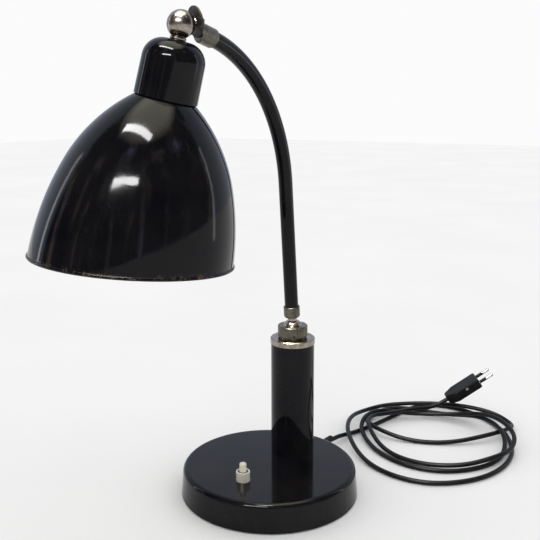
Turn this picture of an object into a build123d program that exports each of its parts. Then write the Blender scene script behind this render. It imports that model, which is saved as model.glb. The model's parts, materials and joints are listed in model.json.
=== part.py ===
from build123d import *
import os
from math import acos, asin, cos, degrees, pi, radians, sin, sqrt, tan

os.makedirs("parts", exist_ok=True)

# ---------------------------------------------------------------- driving sizes, mm and degrees
RUN = 0.05            # radial clearance of a turning or sliding fit

# base
base_r = 92.0         # base cover, radius at the table
base_taper = 2.0      # the cover narrows by this up to its top edge
base_h = 30.0         # base cover, top face above the table
base_edge = 5.0       # rounding of the top edge
cover_t = 1.2         # sheet of the base cover
felt_inset = 6.0      # felt, bottom plate, ballast and its feet inside the cover's edge
felt_t = 1.5
plate_inset = 4.0
plate_t = 1.5
ballast_inset = 8.0
ballast_t = 16.0
boss_r = 6.5          # cast feet of the ballast that carry the bottom plate
boss_inset = 24.0
screw_r = 2.0
screw_head_r = 3.6

# column
column_inset = 46.0   # column axis in from the base's back edge
column_r = 23.0
column_top = 150.0
column_t = 1.2
cap_r = 23.6          # nickel cap ring of the column
cap_h = 6.0
rod_r = 6.5           # threaded pipe that ties base, column and socket together
rod_bore = 4.0
washer_r = 16.0
washer_t = 2.0
nut_h = 6.0
nut_af = 19.0         # across flats
rod_spare = 0.5       # rod beyond its nut

# ball joint at the foot of the arm
foot_rise = 9.0       # centre of the foot ball above the cap ring
foot_r = 11.0
foot_neck_r = 4.8
foot_relief = 0.3     # room under the ball, where it swings over the rod
foot_flat = 0.6       # gap under the ball's flat
socket_r = 13.2       # threaded socket under the clamp nut
socket_wall = 1.6
socket_floor = 1.0
socket_h = 8.0
seat_h = 5.0
clamp_gap = 1.3       # between the cap ring and the clamp nut
clamp_h = 12.1
clamp_r = 15.7
flute_n = 36
flute_r = 0.7
slit_turn = -41.0     # slit in the clamp nut's knurl, about the column
lock_turn = -52.0     # lock screw in its side
lock_r = 1.3
lock_rise = 3.0       # lock screw above the nut's lower face

# arm
tube_r = 7.1
tube_t = 1.0
arm_lean = 5.2        # forward lean of the straight part
arm_straight = 154.8  # from the foot ball's centre to the start of the bend
arm_bend_r = 154.8
arm_end_lean = 76.5   # lean of the arm's end
ferrule_r = 8.5
ferrule_low = 13.5    # start of the lower ferrule above the ball's centre
ferrule_len = 12.0
ferrule_grip = 8.0    # length of tube inside a ferrule

# head joint
stud_yaw = 23.5       # the stud points this far to the lamp's right of straight ahead
stud_dip = 9.6        # and this far below the horizontal
disc_r = 13.2
disc_t = 1.5
disc_clear = 0.9      # between the disc and the hollow ball
disc_rise = 8.0       # disc centre above the axis of the arm's end
disc_reach = 19.7     # from the arm's end to the disc along the arm's axis
stud_r = 2.3
stud_flare_r = 3.4
stud_flare = 2.0
stud_ball_r = 6.0
cup_r = 8.4           # spring cup between the stud's ball and the hollow ball
ball_r = 12.0
slot_half = 4.7       # half width of the slot in the ball
slot_up = 45.0        # slot, degrees from the rest place of the stud towards the top
slot_down = 8.0       # and towards the shade

# head, measured down the shade's axis from the ball's centre
head_lean_side = 12.4   # lean of the shade's axis to the lamp's right, from the plumb line
head_lean_front = 6.3   # lean of the shade's axis to the front
collar_r = 7.0
collar_top = 10.4
neck_top = 13.0
neck_nut_h = 3.6
neck_nut_af = 15.0
nipple_r = 5.0
nipple_bore = 3.2
neck_r = 27.0
neck_flare = 0.6
neck_shoulder_r = 17.5
neck_t = 1.0
shade_t = 1.0
shade_lip_r = 18.6      # inner edge of the shade's top lip
shade_top = 60.2
shade_top_r = 23.1
shade_top_angle = 53.5  # slope of the wall at the lip
shade_mid_angle = 20.0
shoulder_bend_r = 148.0
side_bend_r = 265.0
rim_depth = 205.5       # rim plane on the shade's axis
rim_cut = 9.6           # slope of the rim plane against the shade's axis
rim_turn = 211.4        # direction of the rim's lowest point about the shade's axis
bead_r = 1.7

# lamp holder and bulb
holder_r = 18.4
holder_top = 18.0
holder_low = 66.0
holder_floor = 36.0
holder_flange_r = 23.4
holder_flange = 3.0
thread_r = 13.4         # inner radius of the brass lamp thread
thread_t = 0.7
bulb_r = 30.0
bulb_low = 156.0
glass_t = 0.8
contact_r = 3.2
contact_w = 4.0         # spring strip under the bulb's contact
contact_t = 0.6
leg_w = 3.0             # its two feet on the porcelain
leg_x = 6.5
ring_r = 22.2           # ring that clamps the shade to the holder
ring_h = 4.0

# push switch
switch_inset = 45.0     # switch axis in from the base's front edge
switch_nut_r = 7.0
switch_nut_h = 10.0
switch_barrel_r = 5.4
switch_body_r = 11.0
switch_body_h = 17.0
switch_floor = 3.0
stem_low = 2.0          # button's stem below the cover
stem_collar = 0.8       # collar that keeps the button in
groove_turn = -54.0
button_r = 3.5
button_up = 8.5         # button above the ring nut
spring_wire = 0.4
spring_r = 2.6
spring_turns = 5

# mains cord
cord_r = 2.6
cord_z = 9.5            # height of the cord's way out of the base
relief_len = 41.0
relief_r0 = 5.4
relief_r1 = 3.6
relief_flange = 6.2
block_w = 24.0          # terminal block inside the base
block_d = 11.0
terminal_x = 6.0
terminal_r = 1.9
lift = 6.0              # rise where one strand lies on another
coil_yaw = 35.8         # the coil's own axes: along it and away from its front
coil_step = 30
# back, right, front and left ends of the turns, each as (along, back)
coil_ends = [
    (219, 229), (294, 123), (182, 0), (97, 116),
    (168, 217), (310, 158), (216, 104), (126, 161),
    (182, 204), (284, 112), (196, 29), (116, 136),
    (182, 190), (291, 98), (213, 37), (124, 132),
]
# strands under each corner of the turns, three corners a quarter
coil_layers = [
    0, 0, 0, 0, 0, 0, 0, 0, 0, 1.5, 1.5, 0.5,
    1, 1.5, 1, 0, 1, 1, 0, 0, 1, 1, 0, 1,
    1, 0, 2, 2, 0, 0, 0, 0, 0, 0.5, 2, 2,
    0.5, 1, 3.5, 3, 1.5, 1.5, 0.5, 0, 0,
]

# plug
plug_yaw = 33.7         # heading from the lamp's left towards the back
plug_pitch = 35.0
plug_len = 46.0
plug_w = 25.0
plug_t = 13.0
pin_r = 2.0
pin_gap = 19.0
pin_len = 19.0
pin_root = 8.0
sleeve_len = 9.5
sleeve_t = 0.4
nose_w = 12.0           # plug's width at the cord
nose_len = 12.0
plug_screw_r = 1.8      # screw in the cover's narrow side
plug_screw_t = 1.4
plug_screw_y = 28.0
plug_screw_z = 2.5

# ---------------------------------------------------------------- derived places
base_top_r = base_r - base_taper
column_y = base_r - column_inset
switch_y = switch_inset - base_r
felt_r = base_r - felt_inset
plate_r = base_r - plate_inset
ballast_r = base_r - ballast_inset
boss_ring = base_r - boss_inset
top_under = base_h - cover_t
ballast_low = top_under - ballast_t
plate_top = felt_t + plate_t
cap_top = column_top + cap_h
foot_z = cap_top + foot_rise
clamp_low = cap_top + clamp_gap
clamp_top = clamp_low + clamp_h
disc_gap = ball_r + disc_clear
nut_top = ballast_low - washer_t
socket_low = cap_top - foot_z
block_y = plate_r - 14
foot = Vector(0, column_y, foot_z)


def arm_dir(lean):
    return Vector(0, -sin(radians(lean)), cos(radians(lean)))


def arm_side(lean):
    return Vector(0, -cos(radians(lean)), -sin(radians(lean)))


bend_start = foot + arm_dir(arm_lean) * arm_straight
bend_centre = bend_start + arm_side(arm_lean) * arm_bend_r
arm_end = bend_centre - arm_side(arm_end_lean) * arm_bend_r
arm_mid = bend_centre - arm_side((arm_lean + arm_end_lean) / 2) * arm_bend_r

stud_dir = Vector(
    -sin(radians(stud_yaw)) * cos(radians(stud_dip)),
    -cos(radians(stud_yaw)) * cos(radians(stud_dip)),
    -sin(radians(stud_dip)),
)
disc_up = (Vector(0, 0, 1) + stud_dir * sin(radians(stud_dip))).normalized()
disc_back = arm_end + arm_dir(arm_end_lean) * disc_reach + disc_up * disc_rise
head = disc_back + stud_dir * (disc_t + disc_gap)
head_up = Vector(tan(radians(head_lean_side)), tan(radians(head_lean_front)), 1).normalized()
head_hinge = stud_dir.cross(head_up).normalized()
stud_rise = degrees(asin(-stud_dir.dot(head_up)))

COLUMN = Pos(0, column_y, 0)
SWITCH = Pos(0, switch_y, 0)
SOCKET = Pos(0, column_y, foot_z)
FOOT = Location(Plane(origin=foot, x_dir=(1, 0, 0), z_dir=arm_dir(arm_lean)))
ARM_END = Location(Plane(origin=arm_end, x_dir=(1, 0, 0), z_dir=arm_dir(arm_end_lean)))
STUD = Location(Plane(origin=head, x_dir=head_hinge, z_dir=stud_dir))
HEAD = Location(Plane(origin=head, x_dir=-head_hinge, z_dir=head_up))

# the shade's outer wall, as depth below the ball and radius
shoulder_r = shade_top_r + shoulder_bend_r * (
    cos(radians(shade_mid_angle)) - cos(radians(shade_top_angle))
)
shoulder_depth = shade_top + shoulder_bend_r * (
    sin(radians(shade_top_angle)) - sin(radians(shade_mid_angle))
)
shade_end = shoulder_depth + side_bend_r * sin(radians(shade_mid_angle))
shade_r = shoulder_r + side_bend_r * (1 - cos(radians(shade_mid_angle)))


def wall_depth(r):
    """Depth of the shoulder's outer face at a radius."""
    bend = acos(cos(radians(shade_top_angle)) + (r - shade_top_r) / shoulder_bend_r)
    return shade_top + shoulder_bend_r * (sin(radians(shade_top_angle)) - sin(bend))


def wall_r(depth):
    """Radius of the side's outer face at a depth."""
    bend = asin(max(0, (shade_end - depth) / side_bend_r))
    return shoulder_r + side_bend_r * (cos(bend) - cos(radians(shade_mid_angle)))


neck_low = wall_depth(neck_r - neck_t) - 0.3
glass_centre = bulb_low - bulb_r


# ---------------------------------------------------------------- helpers
def rod(r, z0, z1):
    return Pos(0, 0, z0) * Cylinder(r, z1 - z0, align=(Align.CENTER, Align.CENTER, Align.MIN))


def tube(r_out, r_in, z0, z1):
    return rod(r_out, z0, z1) - rod(r_in, z0, z1)


def turned(*points):
    """Solid of revolution about Z from an outline of (r, z) points."""
    return revolve(make_face(Polyline(*[(r, 0, z) for r, z in points], close=True)), Axis.Z)


def turned_curve(*edges):
    """Solid of revolution about Z from edges in the XZ plane."""
    return revolve(make_face(edges), Axis.Z)


def at(r, depth):
    """Point of a head outline: radius and depth below the ball."""
    return (r, 0, -depth)


def line(a, b):
    return Line(at(*a), at(*b))


def bend(r_centre, depth_centre, radius, angle0, angle1):
    """Arc of a head outline; the angle is the slope of the wall it makes."""
    p = [
        at(r_centre + radius * cos(radians(a)), depth_centre - radius * sin(radians(a)))
        for a in (angle0, (angle0 + angle1) / 2, angle1)
    ]
    return ThreePointArc(*p)


def save(name, shape):
    shape.label = name
    export_step(shape, f"parts/{name}.step")
    print(name, len(shape.solids()), round(shape.volume, 1))


# ---------------------------------------------------------------- base
def base_cover():
    outer = cover_body(0)
    inner = cover_body(cover_t)
    cover = outer - inner
    cover -= COLUMN * rod(rod_r, top_under - 1, base_h + 1)
    cover -= SWITCH * rod(switch_barrel_r, top_under - 1, base_h + 1)
    cover -= Pos(0, 0, cord_z) * Rot(-90, 0, 0) * rod(relief_r0, base_top_r - 10, base_r + 10)
    return cover


def cover_body(inset):
    """Body of the cover, shrunk all round by inset; its foot ends at the felt."""
    low = felt_t if inset == 0 else felt_t - 1
    r_low = base_r - inset
    r_top = base_top_r - inset
    top = base_h - inset
    edge = base_edge - inset
    mid = edge * (1 - cos(pi / 4))
    return turned_curve(
        Line((0, 0, low), (r_low, 0, low)),
        Line((r_low, 0, low), (r_top, 0, top - edge)),
        ThreePointArc((r_top, 0, top - edge), (r_top - mid, 0, top - mid), (r_top - edge, 0, top)),
        Line((r_top - edge, 0, top), (0, 0, top)),
        Line((0, 0, top), (0, 0, low)),
    )


def boss_places():
    return PolarLocations(boss_ring, 3, start_angle=30)


def base_ballast():
    disc = chamfer(rod(ballast_r, ballast_low, top_under).edges(), 2)
    feet = [place * rod(boss_r, plate_top, ballast_low + 1) for place in boss_places()]
    holes = [place * rod(screw_r, plate_top - 1, plate_top + 9) for place in boss_places()]
    body = disc + feet
    body -= COLUMN * rod(rod_r + 0.5, 0, base_h)
    body -= SWITCH * rod(switch_body_r + 1, 0, base_h)
    return body - holes


def base_plate():
    sink = [
        place * Pos(0, 0, felt_t + plate_t / 2) * Cone(screw_head_r, screw_r, plate_t)
        for place in boss_places()
    ]
    return rod(plate_r, felt_t, plate_top) - sink


def plate_screw():
    head_cone = Pos(0, 0, felt_t + plate_t / 2) * Cone(screw_head_r, screw_r, plate_t)
    slot = Box(2 * screw_head_r + 1, 0.8, 0.8, align=(Align.CENTER, Align.CENTER, Align.MIN))
    screw = head_cone + rod(screw_r, plate_top, plate_top + 8) - Pos(0, 0, felt_t) * slot
    return Compound(children=[place * screw for place in boss_places()])


def hexagon_nut(across, bore, z0, z1):
    body = extrude(Pos(0, 0, z0) * RegularPolygon(across / 2, 6, major_radius=False), z1 - z0)
    return body - rod(bore, z0 - 1, z1 + 1)


# ---------------------------------------------------------------- column and foot joint
def column_cap():
    ring = chamfer(rod(cap_r, column_top, cap_top).edges().group_by(Axis.Z)[-1], 0.8)
    ring += rod(column_r - column_t, column_top - 5, column_top)
    return COLUMN * (ring - rod(rod_r, 0, cap_top + 1)) - foot_room()


def foot_room():
    """Space that the foot ball swings in."""
    return SOCKET * Sphere(foot_r + foot_relief)


def column_rod():
    pipe = tube(rod_r, rod_bore, nut_top - nut_h - rod_spare, cap_top + socket_floor)
    return COLUMN * pipe - foot_room()


def ball_socket():
    body = rod(socket_r, socket_low, socket_low + socket_h)
    body -= rod(socket_r - socket_wall, socket_low + socket_floor, socket_low + socket_h + 1)
    body -= rod(rod_r, socket_low - 1, socket_low + 2)
    return SOCKET * body - foot_room()


def seat_ring():
    low = socket_low + socket_floor
    ring = rod(socket_r - socket_wall - RUN, low, low + seat_h)
    return SOCKET * (ring - Sphere(foot_r + RUN))


def clamp_nut():
    low = clamp_low - foot_z
    top = clamp_top - foot_z
    body = chamfer(rod(clamp_r, low, top).edges(), 0.7)
    body -= rod(socket_r, low - 1, socket_low + socket_h)
    body -= Sphere(foot_r + RUN)
    body -= [
        place * rod(flute_r, low + 1.5, top - 1.8)
        for place in PolarLocations(clamp_r + flute_r / 2, flute_n)
    ]
    slit = Pos(clamp_r, 0, 0) * Box(2.0, 0.9, 40)
    hole = Pos(0, 0, low + lock_rise) * Rot(0, 90, 0) * rod(lock_r, socket_r - 1, clamp_r + 1)
    return SOCKET * (body - Rot(0, 0, slit_turn) * slit - Rot(0, 0, lock_turn) * hole)


def lock_screw():
    low = clamp_low - foot_z
    pin = rod(lock_r, socket_r, clamp_r - 0.6)
    pin -= Pos(0, 0, clamp_r - 0.6) * Box(3, 0.5, 1)
    return SOCKET * Rot(0, 0, lock_turn) * Pos(0, 0, low + lock_rise) * Rot(0, 90, 0) * pin


def foot_ball():
    body = Sphere(foot_r) + rod(foot_neck_r, 8, ferrule_low + ferrule_len - ferrule_grip)
    body -= rod(2.6, -20, 40)
    flat = Pos(0, 0, cap_top + socket_floor + foot_flat) * rod(foot_r + 1, -20, 0)
    return FOOT * body - COLUMN * flat


# ---------------------------------------------------------------- arm
def lower_ferrule():
    top = ferrule_low + ferrule_len
    body = rod(ferrule_r, ferrule_low, top)
    body = fillet(body.edges().group_by(Axis.Z)[0], 2.2)
    body = chamfer(body.edges().group_by(Axis.Z)[-1], 0.5)
    body -= rod(tube_r, top - ferrule_grip, top + 1)
    body -= rod(foot_neck_r, 0, top)
    return FOOT * body


def arm_tube():
    low = foot + arm_dir(arm_lean) * (ferrule_low + ferrule_len - ferrule_grip)
    far = arm_end + arm_dir(arm_end_lean) * ferrule_grip
    path = Wire(
        [
            Line(low, bend_start),
            ThreePointArc(bend_start, arm_mid, arm_end),
            Line(arm_end, far),
        ]
    )
    mouth = Plane(origin=low, x_dir=(1, 0, 0), z_dir=arm_dir(arm_lean))
    ring = Circle(tube_r) - Circle(tube_r - tube_t)
    return sweep(mouth * ring, path=path)


def behind_disc():
    """Half space behind the back face of the disc."""
    place = STUD * Pos(0, 0, -disc_gap - disc_t)
    return place * Box(80, 80, 80, align=(Align.CENTER, Align.CENTER, Align.MAX))


def upper_ferrule():
    body = rod(ferrule_r, 0, disc_reach + 15)
    body = chamfer(body.edges().group_by(Axis.Z)[0], 0.5)
    body -= rod(tube_r, -1, ferrule_grip)
    body -= rod(tube_r - 2, -1, ferrule_grip + 3)
    body = (ARM_END * body) & behind_disc()
    return body - STUD * rod(stud_r, -disc_gap - disc_t - 8, 0)


def friction_disc():
    body = rod(disc_r, -disc_gap - disc_t, -disc_gap)
    body = fillet(body.edges().group_by(Axis.Z)[-1], 0.5)
    return STUD * (body - rod(stud_r, -disc_gap - disc_t - 1, 0))


def head_stud():
    shank = rod(stud_r, -disc_gap - disc_t - 7, -3)
    flare = Pos(0, 0, -disc_gap + stud_flare / 2) * Cone(stud_flare_r, stud_r, stud_flare)
    return STUD * (shank + flare + Sphere(stud_ball_r))


# ---------------------------------------------------------------- head
def stud_cup():
    body = Sphere(cup_r) - Sphere(stud_ball_r + RUN)
    return STUD * (body & rod(cup_r + 1, 1.0, cup_r - 0.6))


def head_ball():
    body = Sphere(ball_r) - Sphere(cup_r + RUN)
    body &= rod(ball_r + 1, -collar_top, ball_r + 1)
    low = stud_rise - slot_down
    high = stud_rise + slot_up
    reach = [(2 * ball_r * cos(radians(a)), 2 * ball_r * sin(radians(a))) for a in (low, high)]
    sector = Polyline((0, 0), *reach, close=True)
    body -= Rot(0, 0, 90) * extrude(Plane.XZ * make_face(sector), slot_half, both=True)
    body -= [Rot(a - 90, 0, 0) * rod(slot_half, 2, 2 * ball_r) for a in (low, high)]
    return HEAD * (body - rod(nipple_r, -ball_r, -2))


def ball_collar():
    ring = tube(collar_r, nipple_r, -neck_top, -collar_top)
    return HEAD * fillet(ring.edges().filter_by(GeomType.CIRCLE).group_by(SortBy.RADIUS)[-1], 1.0)


def head_nipple():
    return HEAD * tube(nipple_r, nipple_bore, -holder_top - 8, -collar_top + 1.6)


def neck_nut():
    top = -neck_top - neck_t
    return HEAD * hexagon_nut(neck_nut_af, nipple_r, top - neck_nut_h, top)


def neck_cap():
    def wall(inset):
        r = neck_r - inset
        shoulder = neck_shoulder_r - inset
        low = neck_low if inset == 0 else neck_low + 1
        r_low = neck_r + neck_flare - inset
        return turned_curve(
            line((0, neck_top + inset), (neck_r - neck_shoulder_r, neck_top + inset)),
            bend(neck_r - neck_shoulder_r, neck_top + neck_shoulder_r, shoulder, -270, -360),
            line((r, neck_top + neck_shoulder_r), (r_low, low)),
            line((r_low, low), (0, low)),
            line((0, low), (0, neck_top + inset)),
        )

    return HEAD * (wall(0) - wall(neck_t) - rod(nipple_r, -neck_top - 3, 0))


def rim_cut_plane():
    """Rim plane: its normal points up the shade, its x axis to the lowest point of the rim."""
    return Rot(0, 0, rim_turn) * Pos(0, 0, -rim_depth) * Rot(0, rim_cut, 0)


def rim_radius(side):
    """Radius where the rim plane meets the side, towards (+1) or away from (-1) its low point."""
    r = shade_r
    for _ in range(8):
        r = wall_r(rim_depth + side * r * tan(radians(rim_cut)))
    return r


def shade():
    def wall(inset):
        top = shade_top + inset
        shoulder = shoulder_bend_r - inset
        side = side_bend_r - inset
        r0 = shade_top_r - shoulder_bend_r * cos(radians(shade_top_angle))
        d0 = shade_top + shoulder_bend_r * sin(radians(shade_top_angle))
        start = degrees(asin((d0 - top) / shoulder))
        low = shade_end + 12 + inset
        return turned_curve(
            line((0, top), (r0 + shoulder * cos(radians(start)), top)),
            bend(r0, d0, shoulder, start, shade_mid_angle),
            bend(shade_r - side_bend_r, shade_end, side, shade_mid_angle, 0),
            line((shade_r - inset, shade_end), (shade_r - inset, low)),
            line((shade_r - inset, low), (0, low)),
            line((0, low), (0, top)),
        )

    bell = wall(0) - wall(shade_t) - rod(shade_lip_r, -shade_top - 5, 0)
    keep = rim_cut_plane() * Box(400, 400, 400, align=(Align.CENTER, Align.CENTER, Align.MIN))
    bell &= keep
    slope = 1 / cos(radians(rim_cut))
    far = rim_radius(1) - shade_t / 2
    near = rim_radius(-1) - shade_t / 2
    middle = (far - near) / 2
    across = sqrt((wall_r(rim_depth + middle * tan(radians(rim_cut))) - shade_t / 2) ** 2 - middle**2)
    centre = rim_cut_plane() * Pos(middle * slope, 0, 0)
    ring = Ellipse((far + near) / 2 * slope, across).edge()
    start = centre * Pos((far + near) / 2 * slope, 0, 0) * Rot(90, 0, 0)
    bead = sweep(start * Circle(bead_r), path=centre * ring)
    return HEAD * (bell + bead)


def holder_body():
    flange_low = -shade_top
    body = turned(
        (0, -holder_top),
        (11, -holder_top),
        (holder_r, -holder_top - 9),
        (holder_r, -holder_low),
        (0, -holder_low),
    )
    body += rod(holder_flange_r - 1.2, flange_low, flange_low + holder_flange)
    body -= rod(thread_r + thread_t, -holder_low - 1, -holder_floor)
    body -= rod(nipple_r, -holder_top - 8, 0)
    return HEAD * (body - rod(nipple_bore, -holder_floor - 1, 0))


def holder_thread():
    return HEAD * tube(thread_r + thread_t, thread_r, -holder_low + 3, -holder_floor - 4)


def holder_contact():
    low = -holder_floor - 2 * contact_t
    below = (Align.CENTER, Align.CENTER, Align.MIN)
    strip = Pos(0, 0, low) * Box(2 * leg_x + leg_w, contact_w, contact_t, align=below)
    leg = Box(leg_w, contact_w, contact_t, align=below)
    feet = [Pos(x, 0, low + contact_t) * leg for x in (-leg_x, leg_x)]
    return HEAD * (strip + feet + rod(contact_r, low - contact_t, low))


def shade_ring():
    ring = tube(ring_r, holder_r, -shade_top - shade_t - ring_h, -shade_top - shade_t)
    return HEAD * chamfer(ring.edges().group_by(Axis.Z)[0], 0.6)


def bulb_cap():
    top = -holder_floor - 4.0
    low = -holder_low + 4.0
    body = turned(
        (contact_r, top),
        (12.0, top - 3),
        (thread_r, top - 5),
        (thread_r, low),
        (thread_r - 0.5, low),
        (thread_r - 0.5, top - 5.2),
        (11.7, top - 3.6),
        (contact_r, top - 0.7),
    )
    return HEAD * body


def bulb_contact():
    top = -holder_floor - 3 * contact_t
    return HEAD * rod(contact_r, top - 3, top)


def bulb_glass():
    neck = thread_r - 0.5
    neck_end = holder_low + 2
    spread = bulb_r - neck
    run = glass_centre - neck_end
    flare = (run**2 + spread**2) / (4 * spread)
    sweep_angle = degrees(asin(run / 2 / flare))

    def wall(inset, top):
        r = neck - inset
        return turned_curve(
            line((0, top), (r, top)),
            line((r, top), (r, neck_end)),
            bend(neck + flare, neck_end, flare + inset, 180, 180 + sweep_angle),
            bend(bulb_r - flare, glass_centre, flare - inset, sweep_angle, 0),
            bend(0, glass_centre, bulb_r - inset, 0, -90),
            line((0, bulb_low - inset), (0, top)),
        )

    return HEAD * (wall(0, holder_low - 10) - wall(glass_t, holder_low - 12))


# ---------------------------------------------------------------- switch
def switch_body():
    body = rod(switch_body_r, top_under - switch_body_h, top_under)
    body += rod(switch_barrel_r, top_under, base_h + switch_nut_h - 0.5)
    body -= rod(button_r + RUN, base_h, base_h + switch_nut_h)
    body -= rod(button_r + 1, top_under - switch_body_h + switch_floor, base_h + 2)
    return SWITCH * body


def switch_nut():
    ring = tube(switch_nut_r, switch_barrel_r, base_h, base_h + switch_nut_h)
    ring = fillet(ring.edges().group_by(Axis.Z)[-1], 0.5)
    groove = Box(1.6, 1.1, 2 * switch_nut_h, align=(Align.CENTER, Align.CENTER, Align.MIN))
    cuts = [Rot(0, 0, a) * Pos(switch_nut_r, 0, base_h + 1.5) * groove for a in (0, 180)]
    return SWITCH * Rot(0, 0, groove_turn) * (ring - cuts)


def push_button():
    top = base_h + switch_nut_h + button_up
    low = base_h - stem_low
    stem = fillet(rod(button_r, low, top).edges().group_by(Axis.Z)[-1], 1.4)
    return SWITCH * (stem + rod(button_r + stem_collar, low, base_h + 1.8))


def switch_spring():
    low = top_under - switch_body_h + switch_floor
    height = base_h - stem_low - low - 2 * spring_wire
    coil = Helix(height / spring_turns, height, spring_r)
    place = Plane(origin=coil @ 0, z_dir=coil % 0)
    wire = sweep(place * Circle(spring_wire), path=coil, is_frenet=True)
    return SWITCH * Pos(0, 0, low + spring_wire) * wire


# ---------------------------------------------------------------- mains cord
def on_table(along, back, layer):
    """Point of the coil from its own axes and the strands under it."""
    c, s = cos(radians(coil_yaw)), sin(radians(coil_yaw))
    return (along * c - back * s, along * s + back * c, cord_r + 0.1 + lift * layer)


def coil_points():
    """Corners of the loose coil, quarter by quarter between the ends of its turns."""
    points = []
    layers = iter(coil_layers)
    for k, (a, b) in enumerate(zip(coil_ends, coil_ends[1:])):
        for turn in range(0, 90, coil_step):
            far, near = sin(radians(turn)), 1 - cos(radians(turn))
            out, across = (near, far) if k % 2 else (far, near)
            along = a[0] + (b[0] - a[0]) * out
            back = a[1] + (b[1] - a[1]) * across
            points.append(on_table(along, back, next(layers)))
    return points


def cord_points():
    """Corner points of the cord, from the terminal block to the plug."""
    floor_z = cord_r + 0.1
    lead = [
        (0, block_y, cord_z),
        (0, plate_r + 46, cord_z),
        (7, plate_r + 86, floor_z),
        (17, plate_r + 122, floor_z),
        (24, plate_r + 160, floor_z),
        (30, plate_r + 196, floor_z),
    ]
    tail = [(124, 132, 2), (132, 163, 2), (157, 176, 1.5), (189, 183, 2), (220, 194, 1.5)]
    return lead + coil_points() + [on_table(*p) for p in tail]


def plug_dir():
    flat = cos(radians(plug_pitch))
    yaw = radians(plug_yaw)
    return Vector(flat * cos(yaw), flat * sin(yaw), sin(radians(plug_pitch)))


def cord_route():
    points = [Vector(*p) for p in cord_points()]
    return points + [points[-1] + plug_dir() * 20]


def cord_radii(points):
    radii = []
    for a, b, c in zip(points, points[1:], points[2:]):
        half = radians((b - a).get_angle(c - b)) / 2
        radii.append(0.45 * min((b - a).length, (c - b).length) / tan(half))
    return radii


def cord():
    points = cord_route()
    radii = cord_radii(points)
    print("cord radii", [round(r) for r in radii])
    path = FilletPolyline(*points, radius=radii)
    print("cord length", round(path.length, 1))
    start = Plane(origin=points[0], z_dir=points[1] - points[0])
    body = sweep(start * Circle(cord_r), path=path)
    print("cord volume ratio", round(body.volume / (pi * cord_r**2 * path.length), 4))
    return body


def strain_relief():
    wall = base_r - 1.2
    body = turned(
        (cord_r, wall - cover_t - 2.4),
        (relief_flange, wall - cover_t - 2.4),
        (relief_flange, wall - cover_t - 0.4),
        (relief_r0, wall - cover_t - 0.4),
        (relief_r0, wall + 4),
        (relief_r1, wall + relief_len),
        (cord_r, wall + relief_len),
    )
    return Pos(0, 0, cord_z) * Rot(-90, 0, 0) * body


def terminal_block():
    height = ballast_low - plate_top - 0.6
    block = Box(block_w, block_d, height, align=(Align.CENTER, Align.MAX, Align.MIN))
    return Pos(0, block_y, plate_top) * fillet(block.edges().filter_by(Axis.Z), 1.5)


def terminal_screw():
    face = Pos(0, block_y - block_d, (plate_top + ballast_low) / 2) * Rot(90, 0, 0)
    head_disc = rod(terminal_r, 0, 1)
    return Compound(children=[face * Pos(x, 0, 0) * head_disc for x in (-terminal_x, terminal_x)])


# ---------------------------------------------------------------- plug
def plug_place():
    end = cord_route()[-1]
    side = Vector(sin(radians(plug_yaw)), -cos(radians(plug_yaw)), 0)
    return Location(Plane(origin=end, x_dir=side, z_dir=side.cross(plug_dir())))


def plug_half(low, high):
    outline = Polyline(
        (-nose_w / 2, 0),
        (-plug_w / 2, nose_len),
        (-plug_w / 2, plug_len),
        (plug_w / 2, plug_len),
        (plug_w / 2, nose_len),
        (nose_w / 2, 0),
        close=True,
    )
    body = extrude(Pos(0, 0, low) * make_face(outline), high - low)
    body = fillet(body.edges().filter_by(Axis.Z), 2.5)
    outer = body.faces().sort_by(Axis.Z)[-1 if high > 0 else 0]
    return fillet(outer.edges(), 1.8)


def pins(r, y0, y1):
    return [Pos(x, 0, 0) * Rot(-90, 0, 0) * rod(r, y0, y1) for x in (-pin_gap / 2, pin_gap / 2)]


def plug_body():
    half = plug_half(-plug_t / 2, 0) - pins(pin_r, plug_len - pin_root, plug_len + 1)
    return plug_place() * half


def plug_cover():
    half = plug_half(0, plug_t / 2) - pins(pin_r, plug_len - pin_root, plug_len + 1)
    hole = plug_screw_place() * rod(plug_screw_r, -plug_screw_t, plug_screw_t)
    return plug_place() * (half - hole)


def plug_screw_place():
    return Pos(plug_w / 2, plug_screw_y, plug_screw_z) * Rot(0, 90, 0)


def plug_screw():
    head_disc = rod(plug_screw_r, -plug_screw_t, -0.1)
    head_disc -= Box(6, 0.6, 1.2)
    return plug_place() * plug_screw_place() * head_disc


def plug_sleeve():
    rings = [
        a - b
        for a, b in zip(
            pins(pin_r, plug_len, plug_len + sleeve_len),
            pins(pin_r - sleeve_t, plug_len - 1, plug_len + sleeve_len + 1),
        )
    ]
    return Compound(children=[plug_place() * ring for ring in rings])


def plug_pin():
    thin = pins(pin_r - sleeve_t, plug_len, plug_len + sleeve_len)
    root = pins(pin_r, plug_len - pin_root, plug_len)
    tips = pins(pin_r, plug_len + sleeve_len, plug_len + pin_len)
    whole = []
    for a, b, c in zip(root, thin, tips):
        tip = fillet(c.edges().group_by(Axis.Y)[-1], 1.2)
        whole.append(plug_place() * (a + b + tip))
    return Compound(children=whole)


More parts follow.
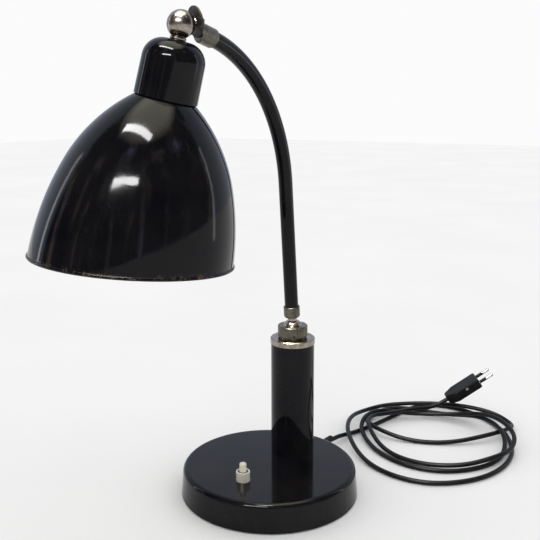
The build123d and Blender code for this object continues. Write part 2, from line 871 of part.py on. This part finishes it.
# ---------------------------------------------------------------- all pieces
save("base_cover", base_cover())
save("base_ballast", base_ballast())
save("base_plate", base_plate())
save("felt_pad", rod(felt_r, 0, felt_t))
save("plate_screw", plate_screw())
save("column_tube", COLUMN * tube(column_r, column_r - column_t, base_h, column_top))
save("column_cap", column_cap())
save("rod_washer", COLUMN * tube(washer_r, rod_r, nut_top, ballast_low))
save("rod_nut", COLUMN * hexagon_nut(nut_af, rod_r, nut_top - nut_h, nut_top))
save("column_rod", column_rod())
save("ball_socket", ball_socket())
save("seat_ring", seat_ring())
save("clamp_nut", clamp_nut())
save("lock_screw", lock_screw())
save("foot_ball", foot_ball())
save("lower_ferrule", lower_ferrule())
save("arm_tube", arm_tube())
save("upper_ferrule", upper_ferrule())
save("friction_disc", friction_disc())
save("head_stud", head_stud())
save("stud_cup", stud_cup())
save("head_ball", head_ball())
save("ball_collar", ball_collar())
save("head_nipple", head_nipple())
save("neck_nut", neck_nut())
save("neck_cap", neck_cap())
save("shade", shade())
save("holder_body", holder_body())
save("holder_thread", holder_thread())
save("holder_contact", holder_contact())
save("shade_ring", shade_ring())
save("bulb_cap", bulb_cap())
save("bulb_contact", bulb_contact())
save("bulb_glass", bulb_glass())
save("switch_body", switch_body())
save("switch_nut", switch_nut())
save("push_button", push_button())
save("switch_spring", switch_spring())
save("cord", cord())
save("strain_relief", strain_relief())
save("terminal_block", terminal_block())
save("terminal_screw", terminal_screw())
save("plug_body", plug_body())
save("plug_cover", plug_cover())
save("plug_screw", plug_screw())
save("plug_sleeve", plug_sleeve())
save("plug_pin", plug_pin())
print("foot", foot, "head", head)
print("stud", stud_dir, "hinge", head_hinge, "up", head_up)
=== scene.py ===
import json
from math import cos, radians, sin, tan

import bmesh
import bpy
from mathutils import Matrix, Vector


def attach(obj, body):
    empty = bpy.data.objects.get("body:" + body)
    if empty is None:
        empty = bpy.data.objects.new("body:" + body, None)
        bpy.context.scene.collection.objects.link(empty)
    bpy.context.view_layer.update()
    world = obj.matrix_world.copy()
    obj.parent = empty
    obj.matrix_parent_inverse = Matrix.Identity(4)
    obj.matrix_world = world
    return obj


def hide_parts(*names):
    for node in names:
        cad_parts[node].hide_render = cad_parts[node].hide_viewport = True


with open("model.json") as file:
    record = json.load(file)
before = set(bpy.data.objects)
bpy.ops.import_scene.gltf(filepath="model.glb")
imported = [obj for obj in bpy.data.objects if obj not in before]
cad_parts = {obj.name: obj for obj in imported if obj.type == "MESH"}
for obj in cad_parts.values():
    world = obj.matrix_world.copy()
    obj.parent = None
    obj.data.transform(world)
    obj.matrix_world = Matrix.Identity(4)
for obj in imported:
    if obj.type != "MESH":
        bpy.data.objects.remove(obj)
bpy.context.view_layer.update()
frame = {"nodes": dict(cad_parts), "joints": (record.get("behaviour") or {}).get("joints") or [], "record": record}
NODES = frame["nodes"]
SCENE = bpy.context.scene

# camera fitted to the outlines in the photo: metres and degrees, sensor and lens in millimetres
CAMERA_PLACE = (0.4376, -0.6560, 0.4060)
CAMERA_YAW = 35.78
CAMERA_DIP = 11.604
CAMERA_ROLL = -0.635
CAMERA_SENSOR = 36
CAMERA_LENS = 53.88
CAMERA_SHIFT_X = 0.0562
CAMERA_SHIFT_Y = -0.0127

# mains cord, metres and degrees, on the same route as the part's; it starts at the terminal
# block and leaves the base at CORD_EXIT_Y, and TABLE_Z is the middle of a strand on the table
PLATE_R = 0.088
BLOCK_Y = PLATE_R - 0.014
CORD_R = 0.0026
CORD_Z = 0.0095
TABLE_Z = CORD_R + 0.0001
STRAND_LIFT = 0.006
COIL_YAW = 35.8
COIL_STEP = 30
PLUG_YAW = 33.7
PLUG_PITCH = 35
PLUG_STUB = 0.020
# back, right, front and left ends of the cord's turns, each as (along, back), millimetres
COIL_ENDS = [
    (219, 229), (294, 123), (182, 0), (97, 116),
    (168, 217), (310, 158), (216, 104), (126, 161),
    (182, 204), (284, 112), (196, 29), (116, 136),
    (182, 190), (291, 98), (213, 37), (124, 132),
]
# from the last turn to the plug, each as (along, back, strands under it)
COIL_TAIL = [(124, 132, 2), (132, 163, 2), (157, 176, 1.5), (189, 183, 2), (220, 194, 1.5)]
# strands under each corner of the turns, three corners a quarter
COIL_LAYERS = [
    0, 0, 0, 0, 0, 0, 0, 0, 0, 1.5, 1.5, 0.5,
    1, 1.5, 1, 0, 1, 1, 0, 0, 1, 1, 0, 1,
    1, 0, 2, 2, 0, 0, 0, 0, 0, 0.5, 2, 2,
    0.5, 1, 3.5, 3, 1.5, 1.5, 0.5, 0, 0,
]

# the head at rest: lean of the shade's axis to the lamp's right and to the front, degrees
HEAD_LEAN_SIDE = 12.4
HEAD_LEAN_FRONT = 6.3
HEAD_UP = Vector((tan(radians(HEAD_LEAN_SIDE)), tan(radians(HEAD_LEAN_FRONT)), 1)).normalized()
HEAD_TILT = next(joint for joint in frame["joints"] if joint["name"] == "head_tilt")
HEAD = Vector(HEAD_TILT["pos_m"])
HEAD_X = -Vector(HEAD_TILT["axis"])
# the shade's oblique rim: its plane in metres below the ball and degrees, and the chipped band
RIM_DEPTH = 0.2055
RIM_CUT = 9.6
RIM_TURN = 211.4
CHIPPED_BAND = 0.0042

# light: plain surroundings for camera and diffuse light, and a ceiling only in reflections;
# TO_FRONT is the way from the lamp to the viewer, and the bright wall lies against it
SURROUNDINGS = (0.97, 0.97, 0.97, 1)
CEILING = (4.2, 4.1, 3.3)
TO_FRONT = (0.555, -0.832, 0)
LIGHT_TARGET = Vector((0, -0.15, 0.36))
# name, azimuth from the front and elevation (degrees), distance, width, height, power (watts)
WINDOWS = [
    ("upper_window", 2, 71, 1.6, 1.1, 0.17, 34),
    ("lower_window", 17, 33, 1.6, 0.85, 0.15, 28),
    ("left_strip", -76, 6, 1.8, 0.12, 1.6, 1.8),
    ("right_strip", 138, 6, 1.8, 0.12, 1.6, 1.6),
]
FLOOR_HALF = 6


# ---------------------------------------------------------------- camera
def make_camera():
    data = bpy.data.cameras.new("camera")
    data.sensor_width = CAMERA_SENSOR
    data.lens = CAMERA_LENS
    data.shift_x = CAMERA_SHIFT_X
    data.shift_y = CAMERA_SHIFT_Y
    cam = bpy.data.objects.new("camera", data)
    SCENE.collection.objects.link(cam)
    turn = Matrix.Rotation(radians(CAMERA_YAW), 4, "Z")
    tip = Matrix.Rotation(radians(90 - CAMERA_DIP), 4, "X")
    roll = Matrix.Rotation(radians(CAMERA_ROLL), 4, "Z")
    cam.matrix_world = Matrix.Translation(CAMERA_PLACE) @ turn @ tip @ roll
    SCENE.camera = cam


# ---------------------------------------------------------------- mains cord
def on_table(along, back, layer):
    """Point of the coil from its own axes (millimetres) and the strands under it."""
    c, s = cos(radians(COIL_YAW)), sin(radians(COIL_YAW))
    height = TABLE_Z + STRAND_LIFT * layer
    return ((along * c - back * s) / 1000, (along * s + back * c) / 1000, height)


def coil_points():
    """Corners of the loose turns: quarter ellipses from one end to the next."""
    points = []
    layers = iter(COIL_LAYERS)
    for k, (a, b) in enumerate(zip(COIL_ENDS, COIL_ENDS[1:])):
        for turn in range(0, 90, COIL_STEP):
            far, near = sin(radians(turn)), 1 - cos(radians(turn))
            out, across = (near, far) if k % 2 else (far, near)
            along = a[0] + (b[0] - a[0]) * out
            back = a[1] + (b[1] - a[1]) * across
            points.append(on_table(along, back, next(layers)))
    return points


def cord_points():
    """Control points from the terminal block through the boot and the turns to the plug."""
    lead = [
        (0, BLOCK_Y, CORD_Z),
        (0, PLATE_R + 0.046, CORD_Z),
        (0.007, PLATE_R + 0.086, TABLE_Z),
        (0.017, PLATE_R + 0.122, TABLE_Z),
        (0.024, PLATE_R + 0.160, TABLE_Z),
        (0.030, PLATE_R + 0.196, TABLE_Z),
    ]
    tail = [on_table(*p) for p in COIL_TAIL]
    return [Vector(p) for p in lead + coil_points() + tail]


def plug_dir():
    """The way the plug points, up from the table."""
    flat = cos(radians(PLUG_PITCH))
    yaw = radians(PLUG_YAW)
    return Vector((flat * cos(yaw), flat * sin(yaw), sin(radians(PLUG_PITCH))))


def make_cord():
    points = cord_points()
    points.append(points[-1] + plug_dir() * PLUG_STUB)
    curve = bpy.data.curves.new("mains_cord", "CURVE")
    curve.dimensions = "3D"
    curve.resolution_u = 12
    curve.bevel_depth = CORD_R
    curve.bevel_resolution = 8
    curve.use_fill_caps = True
    spline = curve.splines.new("NURBS")
    spline.points.add(len(points) - 1)
    for place, p in zip(spline.points, points):
        place.co = (*p, 1)
    spline.order_u = 3
    spline.use_endpoint_u = True
    cord = bpy.data.objects.new("mains_cord", curve)
    SCENE.collection.objects.link(cord)
    return cord


make_camera()
cord = make_cord()


# ---------------------------------------------------------------- materials
class Nodes:
    """Short calls that add and wire the shader nodes of one tree."""

    def __init__(self, tree):
        self.tree = tree

    def node(self, kind, **settings):
        made = self.tree.nodes.new(kind)
        for key, value in settings.items():
            setattr(made, key, value)
        return made

    def put(self, source, target):
        self.tree.links.new(source, target)

    def feed(self, value, socket):
        """Set a number or a colour on the socket, or wire an output to it."""
        if isinstance(value, tuple):
            socket.default_value = (*value, 1)
        elif isinstance(value, (int, float)):
            socket.default_value = value
        else:
            self.put(value, socket)

    def ramp(self, source, *stops):
        n = self.node("ShaderNodeValToRGB")
        bar = n.color_ramp.elements
        while len(bar) < len(stops):
            bar.new(0.5)
        for stop, (at, colour) in zip(bar, stops):
            stop.position = at
            stop.color = (*colour, 1) if isinstance(colour, tuple) else (*[colour] * 3, 1)
        self.put(source, n.inputs["Fac"])
        return n.outputs["Color"]

    def range(self, source, low, high, to_low, to_high):
        n = self.node("ShaderNodeMapRange")
        limits = {"From Min": low, "From Max": high, "To Min": to_low, "To Max": to_high}
        for key, value in limits.items():
            n.inputs[key].default_value = value
        self.put(source, n.inputs["Value"])
        return n.outputs["Result"]

    def math(self, operation, a, b):
        n = self.node("ShaderNodeMath", operation=operation)
        self.feed(a, n.inputs[0])
        self.feed(b, n.inputs[1])
        return n.outputs[0]

    def mix(self, factor, a, b):
        n = self.node("ShaderNodeMix", data_type="RGBA")
        self.feed(factor, n.inputs[0])
        self.feed(a, n.inputs[6])
        self.feed(b, n.inputs[7])
        return n.outputs[2]

    def vector(self, operation, a, b):
        """Vector maths on outputs and on plain vectors."""
        n = self.node("ShaderNodeVectorMath", operation=operation)
        for value, socket in ((a, n.inputs[0]), (b, n.inputs[1])):
            if isinstance(value, (tuple, Vector)):
                socket.default_value = value
            else:
                self.put(value, socket)
        return n.outputs["Value" if operation == "DOT_PRODUCT" else "Vector"]


class Mat(Nodes):
    """A Principled material whose patterns lie in the row frame."""

    def __init__(self, name, **sockets):
        self.mat = bpy.data.materials.new(name)
        self.mat.use_nodes = True
        super().__init__(self.mat.node_tree)
        self.bsdf = self.tree.nodes["Principled BSDF"]
        for socket, value in sockets.items():
            self.bsdf.inputs[socket.replace("_", " ")].default_value = value
        where = self.node("ShaderNodeTexCoord")
        self.place = where.outputs["Object"]
        self.facing = where.outputs["Normal"]

    def noise(self, scale, detail=3, rough=0.5, stretch=None, twist=0):
        n = self.node("ShaderNodeTexNoise")
        n.inputs["Scale"].default_value = scale
        n.inputs["Detail"].default_value = detail
        n.inputs["Roughness"].default_value = rough
        n.inputs["Distortion"].default_value = twist
        self.put(self.stretched(stretch), n.inputs["Vector"])
        return n.outputs["Fac"]

    def cells(self, scale):
        n = self.node("ShaderNodeTexVoronoi")
        n.inputs["Scale"].default_value = scale
        self.put(self.place, n.inputs["Vector"])
        return n.outputs["Distance"]

    def stretched(self, stretch):
        if stretch is None:
            return self.place
        n = self.node("ShaderNodeMapping")
        n.inputs["Scale"].default_value = stretch
        self.put(self.place, n.inputs["Vector"])
        return n.outputs["Vector"]

    def along(self, origin, axis):
        """Distance from origin along axis, in the row frame."""
        return self.vector("DOT_PRODUCT", self.vector("SUBTRACT", self.place, origin), axis)

    def inward(self, origin, axis):
        """1 on faces that look towards the axis, 0 on the others."""
        away = self.vector("SUBTRACT", self.place, origin)
        outward = self.vector("CROSS_PRODUCT", axis, self.vector("CROSS_PRODUCT", away, axis))
        return self.math("LESS_THAN", self.vector("DOT_PRODUCT", outward, self.facing), 0.0)

    def colour(self, source):
        self.put(source, self.bsdf.inputs["Base Color"])

    def rough(self, source):
        self.put(source, self.bsdf.inputs["Roughness"])

    def bump(self, source, depth, strength=1.0):
        n = self.node("ShaderNodeBump")
        n.inputs["Strength"].default_value = strength
        n.inputs["Distance"].default_value = depth
        self.put(source, n.inputs["Height"])
        self.put(n.outputs["Normal"], self.bsdf.inputs["Normal"])


def lacquer(name, dark, pale):
    """Old baked lacquer: black gloss with faint waves, dust, scratches and rubbed patches."""
    m = Mat(name, IOR=1.5, Specular_IOR_Level=0.15)
    cloud = m.noise(18, 4, 0.6)
    m.tone = m.ramp(cloud, (0.35, dark), (0.7, pale))
    specks = m.ramp(m.cells(700), (0.0, 1.0), (0.05, 1.0), (0.09, 0.0))
    patch = m.ramp(m.noise(30, 3), (0.52, 0.0), (0.66, 1.0))
    dust = m.math("MULTIPLY", specks, patch)
    streaks = m.noise(45, 2, 0.4, stretch=(1, 14, 1), twist=1.5)
    hairs = m.ramp(streaks, (0.495, 0.0), (0.5, 1.0), (0.505, 0.0))
    rubbed = m.math("MULTIPLY", hairs, patch)
    marks = m.math("MAXIMUM", dust, m.math("MULTIPLY", rubbed, 0.3))
    m.tone = m.mix(m.math("MULTIPLY", marks, 0.55), m.tone, (0.2, 0.18, 0.14))
    haze = m.range(m.noise(28, 5, 0.65), 0.35, 0.75, 0.05, 0.13)
    m.haze = m.math("ADD", haze, m.math("MULTIPLY", marks, 0.3))
    m.colour(m.tone)
    m.rough(m.haze)
    m.bump(m.noise(40, 2, 0.5), 0.0002, 0.3)
    return m


def shade_lacquer():
    """Lacquer outside, aged white paint inside, chipped to rusty metal along the rim."""
    m = lacquer("shade_lacquer", (0.003, 0.003, 0.005), (0.009, 0.008, 0.008))
    turn = Matrix((HEAD_X, HEAD_UP.cross(HEAD_X), HEAD_UP)).transposed()
    rim = turn @ Matrix.Rotation(radians(RIM_TURN), 3, "Z")
    rim = rim @ Matrix.Rotation(radians(RIM_CUT), 3, "Y")
    above = m.along(HEAD - HEAD_UP * RIM_DEPTH, rim @ Vector((0, 0, 1)))
    edge = m.range(above, 0.0, CHIPPED_BAND, 1.0, 0.0)
    chips = m.ramp(m.noise(170, 5, 0.7, twist=1.2), (0.52, 0.0), (0.6, 1.0))
    worn = m.math("MULTIPLY", edge, chips)
    metal = m.ramp(m.noise(500, 3), (0.35, (0.015, 0.008, 0.006)), (0.68, (0.12, 0.075, 0.05)))
    outside = m.mix(worn, m.tone, metal)
    paint = m.ramp(m.noise(25, 4, 0.6), (0.35, (0.66, 0.62, 0.52)), (0.7, (0.78, 0.75, 0.67)))
    within = m.inward(HEAD, HEAD_UP)
    m.colour(m.mix(within, outside, paint))
    rough = m.math("ADD", m.haze, m.math("MULTIPLY", worn, 0.5))
    m.rough(m.math("ADD", rough, m.math("MULTIPLY", within, 0.35)))
    return m


def plated(name, base, dull, rough_low, rough_high, spot, metallic=1.0):
    """Worn plating: warm metal with duller, darker blotches."""
    m = Mat(name, Metallic=metallic)
    cloud = m.noise(140, 5, 0.65, twist=0.6)
    blotch = m.ramp(cloud, (0.42, 0.0), (0.62, 1.0))
    pits = m.ramp(m.cells(900), (0.0, 1.0), (0.12, 1.0), (0.2, 0.0))
    worn = m.mix(blotch, base, dull)
    m.colour(m.mix(m.math("MULTIPLY", pits, 0.55), worn, spot))
    m.rough(m.range(cloud, 0.35, 0.7, rough_low, rough_high))
    m.bump(m.noise(700, 3, 0.6), 0.00006, 0.3)
    return m


black = lacquer("black_lacquer", (0.003, 0.003, 0.005), (0.010, 0.009, 0.009))
shade_black = shade_lacquer()
nickel = plated("nickel", (0.37, 0.32, 0.28), (0.21, 0.18, 0.15), 0.16, 0.3, (0.1, 0.07, 0.05))
dark_nickel = plated(
    "dark_nickel", (0.15, 0.137, 0.11), (0.085, 0.077, 0.06), 0.26, 0.42, (0.04, 0.035, 0.03)
)
tarnished = plated(
    "tarnished", (0.06, 0.054, 0.046), (0.035, 0.03, 0.026), 0.45, 0.62, (0.02, 0.016, 0.012), 0.6
)
pale_nickel = plated(
    "pale_nickel", (0.84, 0.80, 0.70), (0.66, 0.62, 0.53), 0.3, 0.45, (0.3, 0.26, 0.2), 0.35
)
steel = plated("steel", (0.56, 0.56, 0.57), (0.4, 0.4, 0.4), 0.22, 0.4, (0.2, 0.18, 0.16))
brass = plated("brass", (0.66, 0.48, 0.22), (0.38, 0.26, 0.12), 0.25, 0.45, (0.14, 0.09, 0.05))


def moulding(name, dark, pale, low, high, grain, depth, gloss=0.5):
    """A cloudy plain surface: colours, roughness range, grain scale and depth."""
    m = Mat(name, IOR=1.5, Specular_IOR_Level=gloss)
    cloud = m.noise(90, 4, 0.6)
    m.colour(m.ramp(cloud, (0.35, dark), (0.7, pale)))
    m.rough(m.range(cloud, 0.3, 0.7, low, high))
    m.bump(m.noise(grain, 3, 0.6), depth, 0.5)
    return m


cord_black = moulding(
    "cord_black", (0.003, 0.003, 0.004), (0.009, 0.009, 0.009), 0.3, 0.45, 900, 0.0001, 0.2
)
plug_black = moulding(
    "plug_black", (0.003, 0.003, 0.003), (0.008, 0.008, 0.008), 0.32, 0.5, 2500, 0.00008, 0.15
)
rubber = moulding(
    "black_rubber", (0.004, 0.004, 0.004), (0.01, 0.01, 0.01), 0.5, 0.7, 2500, 0.0001, 0.2
)
bakelite = moulding(
    "bakelite", (0.012, 0.008, 0.007), (0.03, 0.02, 0.016), 0.2, 0.35, 1500, 0.00004
)
porcelain = moulding(
    "porcelain", (0.74, 0.71, 0.64), (0.82, 0.80, 0.74), 0.12, 0.22, 300, 0.00006
)
cream = moulding(
    "cream_plastic", (0.70, 0.64, 0.50), (0.80, 0.76, 0.64), 0.25, 0.4, 1200, 0.00004
)
iron = moulding("cast_iron", (0.05, 0.05, 0.05), (0.13, 0.12, 0.11), 0.6, 0.8, 700, 0.0006)
felt = moulding("felt", (0.02, 0.045, 0.03), (0.06, 0.10, 0.07), 0.85, 0.98, 1800, 0.0006)
glass = moulding(
    "bulb_glass", (0.85, 0.85, 0.82), (0.94, 0.94, 0.92), 0.35, 0.5, 1500, 0.00003
)

FINISH = {
    "black_lacquer": black,
    "nickel": nickel,
    "dark_nickel": dark_nickel,
    "steel": steel,
    "cast_iron": iron,
    "brass": brass,
    "felt": felt,
    "bakelite": bakelite,
    "porcelain": porcelain,
    "cream_plastic": cream,
    "bulb_glass": glass,
    "black_rubber": rubber,
    "cord_black": cord_black,
    "plug_black": plug_black,
}
for part in frame["record"]["subparts"]:
    node = NODES[part["node"]]
    node.data.materials.clear()
    node.data.materials.append(FINISH[part["material_slot"]].mat)

# pieces whose look in the photo differs from the rest of their slot
OWN_FINISH = {
    "shade": shade_black,
    "switch_nut": pale_nickel,
    "friction_disc": tarnished,
    "lock_screw": tarnished,
    "lower_ferrule": dark_nickel,
}
for name, finish in OWN_FINISH.items():
    NODES[name].data.materials[0] = finish.mat

cord.data.materials.append(cord_black.mat)
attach(cord, "base")
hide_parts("cord")


# ---------------------------------------------------------------- stage
def make_floor():
    mesh = bpy.data.meshes.new("floor")
    shape = bmesh.new()
    bmesh.ops.create_grid(shape, x_segments=8, y_segments=8, size=FLOOR_HALF)
    shape.to_mesh(mesh)
    shape.free()
    floor = bpy.data.objects.new("floor", mesh)
    SCENE.collection.objects.link(floor)
    m = Mat("floor", Specular_IOR_Level=0.0)
    m.colour(m.ramp(m.noise(3, 2), (0.3, 0.93), (0.7, 0.96)))
    m.rough(m.range(m.noise(40, 3), 0.3, 0.7, 0.8, 0.95))
    mesh.materials.append(m.mat)


def make_world():
    """Plain surroundings; in reflections a dim room, a brighter wall and a patch of ceiling."""
    world = bpy.data.worlds.new("world")
    SCENE.world = world
    world.use_nodes = True
    sky = Nodes(world.node_tree)
    sky.tree.nodes.clear()
    way = sky.node("ShaderNodeTexCoord").outputs["Generated"]

    def toward(axis):
        """0 to 1 as the direction turns from against the axis to along it."""
        return sky.range(sky.vector("DOT_PRODUCT", way, axis), -1, 1, 0, 1)

    flat = sky.node("ShaderNodeMapping")
    flat.inputs["Scale"].default_value = (1, 1, 0.22)
    sky.put(way, flat.inputs["Vector"])
    room = sky.node("ShaderNodeTexNoise")
    room.inputs["Scale"].default_value = 5
    room.inputs["Detail"].default_value = 3
    sky.put(flat.outputs["Vector"], room.inputs["Vector"])
    dim = sky.ramp(
        room.outputs["Fac"],
        (0.48, (0.03, 0.03, 0.05)),
        (0.57, (0.22, 0.21, 0.24)),
        (0.6, (1.1, 0.85, 0.65)),
        (0.63, (0.2, 0.2, 0.26)),
        (0.7, (1.2, 1.4, 2.6)),
    )
    front = toward(TO_FRONT)
    wall = sky.ramp(front, (0.3, (0.6, 0.65, 0.78)), (0.37, (0.55, 0.64, 0.9)), (0.41, 0.0))
    walled = sky.ramp(front, (0.37, 1.0), (0.41, 0.0))
    around = sky.mix(walled, dim, wall)
    overhead = sky.ramp(toward((0, 0, 1)), (0.93, 0.0), (0.97, 1.0))
    seen = sky.mix(overhead, around, CEILING)
    light = sky.node("ShaderNodeBackground")
    sky.put(seen, light.inputs["Color"])
    plain = sky.node("ShaderNodeBackground")
    plain.inputs["Color"].default_value = SURROUNDINGS
    pick = sky.node("ShaderNodeMixShader")
    sky.put(sky.node("ShaderNodeLightPath").outputs["Is Glossy Ray"], pick.inputs[0])
    sky.put(plain.outputs[0], pick.inputs[1])
    sky.put(light.outputs[0], pick.inputs[2])
    sky.put(pick.outputs[0], sky.node("ShaderNodeOutputWorld").inputs["Surface"])


def window(name, azimuth, elevation, distance, width, height, power):
    """Softbox aimed at the lamp. It adds highlights and no diffuse light."""
    data = bpy.data.lights.new(name, "AREA")
    data.shape = "RECTANGLE"
    data.size = width
    data.size_y = height
    data.energy = power
    lamp = bpy.data.objects.new(name, data)
    SCENE.collection.objects.link(lamp)
    a, e = radians(azimuth), radians(elevation)
    way = Vector((sin(a) * cos(e), -cos(a) * cos(e), sin(e)))
    lamp.location = LIGHT_TARGET + way * distance
    lamp.rotation_euler = (-way * distance).to_track_quat("-Z", "Y").to_euler()
    lamp.visible_diffuse = False


make_floor()
make_world()
for row in WINDOWS:
    window(*row)
SCENE.view_settings.view_transform = "Standard"
